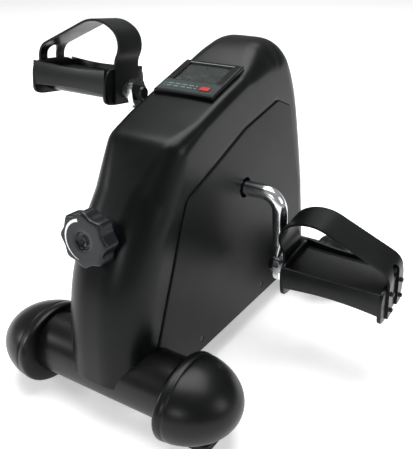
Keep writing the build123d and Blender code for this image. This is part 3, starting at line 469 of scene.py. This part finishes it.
# %% Outline helpers
def rounded(corners, radius, steps=7):
    """An open outline with its inner corners rounded.

    The arc's centre lies on the corner's bisector at radius / sin(half the angle), and its
    directions are the even blend of the two tangent directions, made unit length.
    """
    corners = np.asarray(corners, float)
    before = corners[:-2] - corners[1:-1]
    after = corners[2:] - corners[1:-1]
    before /= np.linalg.norm(before, axis=1, keepdims=True)
    after /= np.linalg.norm(after, axis=1, keepdims=True)
    middle = before + after
    middle /= np.linalg.norm(middle, axis=1, keepdims=True)
    cos_half = (before * middle).sum(axis=1, keepdims=True)
    sin_half = np.sqrt(1 - cos_half**2)
    centre = corners[1:-1] + middle * radius / sin_half
    touch_before = corners[1:-1] + before * radius * cos_half / sin_half - centre
    touch_after = corners[1:-1] + after * radius * cos_half / sin_half - centre
    blend = np.linspace(0, 1, steps)[None, :, None]
    spoke = touch_before[:, None] * (1 - blend) + touch_after[:, None] * blend
    spoke *= radius / np.linalg.norm(spoke, axis=2, keepdims=True)
    arcs = (centre[:, None] + spoke).reshape(-1, 2)
    return np.concatenate([corners[:1], arcs, corners[-1:]])


def ray_hits(places, heart, outline):
    """Where the straight lines from places to a heart point cross an outline.

    For place p with direction d and outline edge a to b, p + r d = a + q (b - a) is solved for r
    and q by cross products; the smallest r with q inside the edge is kept.
    """
    start, edge = outline[:-1], np.diff(outline, axis=0)
    toward = heart - places
    gap = start[None] - places[:, None]

    def cross(one, two):
        """The cross product of flat vectors: one number for each pair."""
        return one[..., 0] * two[..., 1] - one[..., 1] * two[..., 0]

    across = cross(toward[:, None], edge[None])
    ray_r = cross(gap, edge[None]) / across
    ray_q = cross(gap, np.broadcast_to(toward[:, None], gap.shape)) / across
    valid = (ray_r > 0) & (ray_q >= -1e-6) & (ray_q <= 1 + 1e-6)
    return places + toward * np.where(valid, ray_r, np.inf).min(axis=1)[:, None]


# %% Housing shell
# Each section is flat to its corner, turns a quarter circle and then runs straight to the edge
# of the window that a side cover fills.
CROWN = 1.2                  # how much the shell's top bows up in the middle
RADIUS_AT = [0, 0.1, 0.25, 0.33, 0.37, 0.48, 0.55, 0.58, 0.63, 0.8, 1]
RADII = [34, 35, 31, 15, 9, 9, 29, 31, 23, 22, 20]
WINDOW_MARGIN = 2.5
skin = curve_through(SKIN, 260)
skin_heading = headings(skin)
skin_inward = np.stack([skin_heading[:, 1], -skin_heading[:, 0]], axis=1)
run = np.linspace(0, 1, len(skin))
corner_radius = np.interp(run, RADIUS_AT, RADII)[:, None]
window_edge = rounded(WINDOW_CORNERS, WINDOW_ROUND)
window_gap = np.linalg.norm(ray_hits(skin, skin + skin_inward, window_edge) - skin, axis=1)
corner_radius = np.minimum(corner_radius, window_gap[:, None] - WINDOW_MARGIN)
turn = np.linspace(0, pi / 2, 16)[None]
flat = np.linspace(0, 1, 8, endpoint=False)[None] * (HALF_WIDTH - corner_radius)
outward = np.concatenate([flat, HALF_WIDTH - corner_radius + corner_radius * np.sin(turn)], axis=1)
inward = np.concatenate([0 * flat, corner_radius * (1 - np.cos(turn))], axis=1)
crown = CROWN * (1 - (outward / HALF_WIDTH) ** 2)
arch_yz = skin[:, None] + skin_inward[:, None] * (inward - crown)[..., None]
rim_yz = ray_hits(arch_yz[:, -1], SHELL_HEART, window_edge)
share = np.linspace(0, 1, 7)[None, 1:, None]
side_yz = arch_yz[:, -1:] * (1 - share) + rim_yz[:, None] * share
half_yz = np.concatenate([arch_yz, side_yz], axis=1)
half_x = np.concatenate([outward, np.full(side_yz.shape[:2], HALF_WIDTH)], axis=1)
shell_x = np.concatenate([-half_x[:, :0:-1], half_x], axis=1)
shell_yz = np.concatenate([half_yz[:, :0:-1], half_yz], axis=1)
shell_points = np.concatenate([shell_x[..., None], shell_yz], axis=2)
shell = grid_piece("housing_shell", shell_points, "base", "housing_plastic", ["centre_shroud"])
add_wall(shell, SHELL_WALL)
round_edges(shell, 0.5)

# %% [markdown]
# ## The end caps
# Each floor bar ends in a hollow moulded cap, an egg cut square at its seat, with a shallow
# groove where the mould parts.  A ball could be scaled and cut, but the groove and the rolled
# seat edge come free when the profile is a formula: an ellipse with a narrow dip.


# %% End caps
def end_cap(name, side, middle, half_sizes, bar_radius):
    """Turn a profile about the bar: radius = sqrt(1 - x^2) of the ellipse, less the groove.

    x is the distance from the seat over the cap's length.  The profile starts inside, at the
    bar, rolls over the seat's edge and runs out to the nose.
    """
    length, depth, height = half_sizes
    out = np.concatenate([[0.0, 0.2, 0.9, 2.0], np.linspace(3.5, length, 60)])
    far = np.clip(out / length, 0, 1)
    swell = np.sqrt(1 - far**2)
    roll = np.where(out < 3, 1.6 * (1 - out / 3) ** 2, 0)
    groove = 0.6 * np.exp(-(((out - 9) / 1.6) ** 2))
    turn = np.linspace(0, 2 * pi, 96, endpoint=False)
    shrink = roll + groove * (swell > 0.3)
    radial_y = (depth * swell - shrink).clip(0)[:, None] * np.sin(turn)[None]
    radial_z = (height * swell - shrink).clip(0)[:, None] * np.cos(turn)[None]
    across = np.broadcast_to(side * (middle[0] + out)[:, None], radial_y.shape)
    seat = np.stack([np.full(96, side * middle[0]),
                     (bar_radius - 1) * np.sin(turn), (bar_radius - 1) * np.cos(turn)], axis=1)
    dome = np.stack([across, middle[1] + radial_y, middle[2] + radial_z], axis=2)
    seat[:, 1] += middle[1]
    seat[:, 2] += middle[2]
    points = np.concatenate([seat[None], dome])
    return grid_piece(name.replace("cap", "end_cap"), points, "base", "cap_plastic", [name],
                      rings=(False, True))


for side_word, side in (("left", -1), ("right", 1)):
    for end_word, bar_radius in (("front", 30.3), ("rear", 25.0)):
        cap_low, cap_high = (np.array(corner) / MM for corner in
                             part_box(f"{end_word}_{side_word}_cap"))
        seat_x = min(abs(cap_low[0]), abs(cap_high[0]))
        nose_x = max(abs(cap_low[0]), abs(cap_high[0]))
        cap_middle = (seat_x, (cap_low[1] + cap_high[1]) / 2, (cap_low[2] + cap_high[2]) / 2)
        cap_half = (nose_x - seat_x, (cap_high[1] - cap_low[1]) / 2,
                    (cap_high[2] - cap_low[2]) / 2)
        end_cap(f"{end_word}_{side_word}_cap", side, cap_middle, cap_half, bar_radius)

# %% [markdown]
# ## The brake knob
# A hand knob with eight scalloped lobes and a round recess in its face.  Its outline is a circle
# whose radius falls between the lobes; the fall fades out towards the middle of the face, so one
# formula in angle and profile gives lobes, edge rounding and recess together.

# %% Brake knob
KNOB_TILT = radians(3.5)
HUB = np.array([0, 21.5, 172.0])
KNOB_OUT = np.array([0, -cos(KNOB_TILT), sin(KNOB_TILT)])
KNOB_UP = np.array([0, sin(KNOB_TILT), cos(KNOB_TILT)])
ACROSS = np.array([1.0, 0, 0])


def knob_points(along, radial, swell):
    """Places on the knob: along its axis from the hub, at a radius that lobes modulate.

    radius = radial - swell * |sin(4 angle)|^1.6, the fall between the eight lobes.
    """
    turn = np.linspace(0, 2 * pi, 240, endpoint=False)[None]
    fall = np.asarray(swell, float)[:, None] * np.abs(np.sin(4 * turn)) ** 1.6
    radius = np.asarray(radial, float)[:, None] - fall
    return (HUB + np.asarray(along, float)[:, None, None] * KNOB_OUT
            + (radius * np.cos(turn))[..., None] * ACROSS
            + (radius * np.sin(turn))[..., None] * KNOB_UP)


edge = np.linspace(0, pi / 2, 7)
knob_profile = np.concatenate([
    [[152.5, 0.0, 0], [152.5, 10.0, 0], [171.5, 10.0, 0], [172.5, 11.5, 0], [172.5, 22.0, 1.5]],
    np.stack([174.3 - 1.8 * np.cos(edge), 23.7 + 1.8 * np.sin(edge), 2.0 + 1.4 * np.sin(edge)], 1),
    [[177, 25.5, 3.4], [182, 25.5, 3.4]],
    np.stack([185.6 + 3.4 * np.sin(edge), 22.1 + 3.4 * np.cos(edge), 3.4 - 1.2 * np.sin(edge)], 1),
    [[188.9, 18.0, 1.0], [188.7, 12.0, 0], [188.6, 9.0, 0], [188.2, 8.2, 0], [187.4, 7.6, 0],
     [186.6, 7.3, 0], [186.4, 6.9, 0], [186.4, 3.4, 0], [185.6, 3.2, 0], [185.6, 0.0, 0]],
])
grid_piece("lobed_knob", knob_points(*knob_profile.T), "knob_set", "knob_plastic",
           ["brake_knob"], rings=(False, True))

# %% [markdown]
# ## The pedals
# Each pedal is a moulded tray between two rounded end plates, over a tube for the spindle.  On
# the real one the long walls are drawn in at the middle and their rims dip there, which a
# straight extrusion can't show.  So the tray's closed cross-section is carried along the pedal
# while a half sine narrows and lowers it; plates and tube are rings about the same axis.

# %% Pedals
INNER_X, OUTER_X, PLATE = 97.0, 200.0, 4.0
HALF_DEPTH, RIM_TOP, RIM_FOOT, PLATE_FOOT, TREAD = 31.0, 23.0, -3.0, -14.0, 14.0
PLATE_SQUARENESS = 4.75
WALL, WAIST, RIM_DIP, FOOT_RISE, BULGE = 3.0, 2.6, 2.4, 1.6, 0.8
EDGE_INSET = 0.6             # the tray stays this far inside its end plates
BORE, TUBE = 8.5, 11.5
PEG_RADIUS, PEG_LENGTH = 2.2, 5.2
PEGS = [(d, h) for d in (-13, 13) for h in (-4, 14)]
SPINDLES = {"left": (-1, 14.3532, 253.688, -7.0), "right": (1, 28.6468, 90.312, 6.0)}


def rings_along(outlines):
    """Rows of (d, h) outlines at their own x: a grid of (x, d, h) points."""
    rows = [np.column_stack([np.full(len(outline), x), outline]) for x, outline in outlines]
    return np.stack(rows)


def circle(radius, count=64, middle=(0.0, 0.0)):
    """An outline of even steps round a circle."""
    turn = np.linspace(0, 2 * pi, count, endpoint=False)
    return np.column_stack([middle[0] + radius * np.cos(turn), middle[1] + radius * np.sin(turn)])


def plate_outline(count=64):
    """The end plate's rounded outline, one point in each direction from the spindle.

    It is a superellipse: the sum of (d / half depth) and (h / height), each to the power
    PLATE_SQUARENESS, is one, with its own height above and below the spindle.
    """
    turn = np.linspace(0, 2 * pi, count, endpoint=False)
    along, up = np.cos(turn), np.sin(turn)
    height = np.where(up > 0, RIM_TOP, -PLATE_FOOT)
    power = PLATE_SQUARENESS
    reach = ((np.abs(along) / HALF_DEPTH) ** power + (np.abs(up) / height) ** power) ** (-1 / power)
    return np.column_stack([reach * along, reach * up])


def tray_outline(share):
    """The tray's closed cross-section at a share of the pedal's length from its inner end."""
    waist = np.sin(pi * share)
    depth = HALF_DEPTH - EDGE_INSET - WAIST * waist
    top = RIM_TOP - EDGE_INSET - RIM_DIP * waist
    foot = RIM_FOOT + FOOT_RISE * waist
    inner = depth - WALL
    bulge = depth + BULGE
    middle = (top + foot) / 2
    return np.array([(-inner, TREAD), (-inner, top), (-depth, top), (-bulge, middle),
                     (-depth, foot), (-inner, foot), (-inner, TREAD - WALL),
                     (inner, TREAD - WALL), (inner, foot), (depth, foot), (bulge, middle),
                     (depth, top), (inner, top), (inner, TREAD)])


def pedal(word):
    """Join one pedal's tray, plates, tube and pegs into a single mesh."""
    side, spindle_y, spindle_z, tilt = SPINDLES[word]
    shares = np.linspace(0, 1, 40)
    tray_x = INNER_X + PLATE / 2 + shares * (OUTER_X - INNER_X - PLATE)
    grids = [(rings_along([(x, tray_outline(share)) for x, share in zip(tray_x, shares)]), False)]
    for start in (INNER_X, OUTER_X - PLATE):
        grids.append((rings_along([(start, circle(BORE)), (start, plate_outline()),
                                   (start + PLATE, plate_outline()),
                                   (start + PLATE, circle(BORE))]), True))
    grids.append((rings_along([(INNER_X + 1, circle(BORE)), (INNER_X + 1, circle(TUBE)),
                               (OUTER_X - 1, circle(TUBE)), (OUTER_X - 1, circle(BORE))]), True))
    for peg in PEGS:
        pole, rim = circle(0.01, 24, peg), circle(PEG_RADIUS, 24, peg)
        root, tip = OUTER_X - 1, OUTER_X + PEG_LENGTH
        grids.append((rings_along([(root, pole), (root, rim), (tip, rim), (tip, pole)]), False))
    lean = radians(tilt)
    places, faces, count = [], [], 0
    for points, ring in grids:
        rows, columns, _ = points.shape
        x, d, h = points.reshape(-1, 3).T
        places.append(np.column_stack([side * x, spindle_y + d * cos(lean) - h * sin(lean),
                                       spindle_z + d * sin(lean) + h * cos(lean)]))
        faces.append(grid_faces(rows, columns, ring, True) + count)
        count += rows * columns
    name = f"{word}_pedal_moulding"
    mesh = bpy.data.meshes.new(name)
    mesh.from_pydata((np.concatenate(places) * MM).tolist(), [], np.concatenate(faces).tolist())
    tidy_mesh(mesh)
    piece = finish_piece(name, mesh, f"{word}_pedal_set", "pedal_plastic", [f"{word}_pedal"])
    round_edges(piece, 0.9, 3)
    print(f"{name}: {len(mesh.polygons)} faces")


pedal("left")
pedal("right")

# %% [markdown]
# ## The studio
# A pale floor in a dimmer room, one broad light overhead and small ones to the left, in front
# and to the right.  Satin black plastic shows its shape only by what it reflects: the room's
# air keeps it dark, and the small lights draw the soft bands down its rounded corners.

# %% Floor, lights and camera
MACHINE_MIDDLE = (cad_low + cad_high) / 2
FLOOR_HALF = 6.0
floor_mesh = bpy.data.meshes.new("studio_floor")
floor_mesh.from_pydata([(x * FLOOR_HALF, y * FLOOR_HALF, 0) for x, y in
                        ((-1, -1), (1, -1), (1, 1), (-1, 1))], [], [(0, 1, 2, 3)])
floor = bpy.data.objects.new("studio_floor", floor_mesh)
bpy.context.scene.collection.objects.link(floor)
floor_mesh.materials.append(grained("studio_paper", "#f4f4f4", "#f8f8f8", 3.0, 0.01, (0.9, 0.95),
                                    Emission_Color=(1.0, 1.0, 1.0, 1.0), Emission_Strength=0.4))

world = bpy.data.worlds.new("studio_air")
bpy.context.scene.world = world
world.use_nodes = True
world.node_tree.nodes["Background"].inputs["Color"].default_value = (1.0, 1.0, 1.0, 1.0)
world.node_tree.nodes["Background"].inputs["Strength"].default_value = 0.3


def soft_box(name, place, size, watts):
    """A square lamp at a place in metres, aimed at the machine's middle."""
    lamp = bpy.data.lights.new(name, "AREA")
    lamp.size = size
    lamp.energy = watts
    holder = bpy.data.objects.new(name, lamp)
    bpy.context.scene.collection.objects.link(holder)
    holder.location = place
    aim = MACHINE_MIDDLE - Vector(place)
    holder.rotation_euler = aim.to_track_quat("-Z", "Y").to_euler()


soft_box("light_overhead", (-0.2, 0.3, 2.2), 1.8, 62)
soft_box("light_left", (-1.7, -1.2, 0.9), 0.5, 12)
soft_box("light_front", (0.35, -2.1, 0.9), 0.35, 6)
soft_box("light_right", (1.9, 0.2, 1.0), 0.8, 9)

CAMERA_PLACE = Vector((346.87, -509.97, 430.61)) * MM
CAMERA_AZIMUTH, CAMERA_HEIGHT, CAMERA_ROLL = radians(33.39), radians(26.09), radians(-1.01)
camera_data = bpy.data.cameras.new("camera")
camera_data.lens = 53.28
camera_data.sensor_width = 36
camera = bpy.data.objects.new("camera", camera_data)
bpy.context.scene.collection.objects.link(camera)
camera.location = CAMERA_PLACE
camera.rotation_mode = "QUATERNION"
back = Vector((sin(CAMERA_AZIMUTH) * cos(CAMERA_HEIGHT),
               -cos(CAMERA_AZIMUTH) * cos(CAMERA_HEIGHT), sin(CAMERA_HEIGHT)))
level_turn = (-back).to_track_quat("-Z", "Y")
roll_turn = Quaternion((0, 0, 1), CAMERA_ROLL)
camera.rotation_quaternion = level_turn @ roll_turn
camera_data.clip_start = 0.01
camera_data.clip_end = 50
bpy.context.scene.camera = camera
bpy.context.scene.view_settings.view_transform = "Standard"
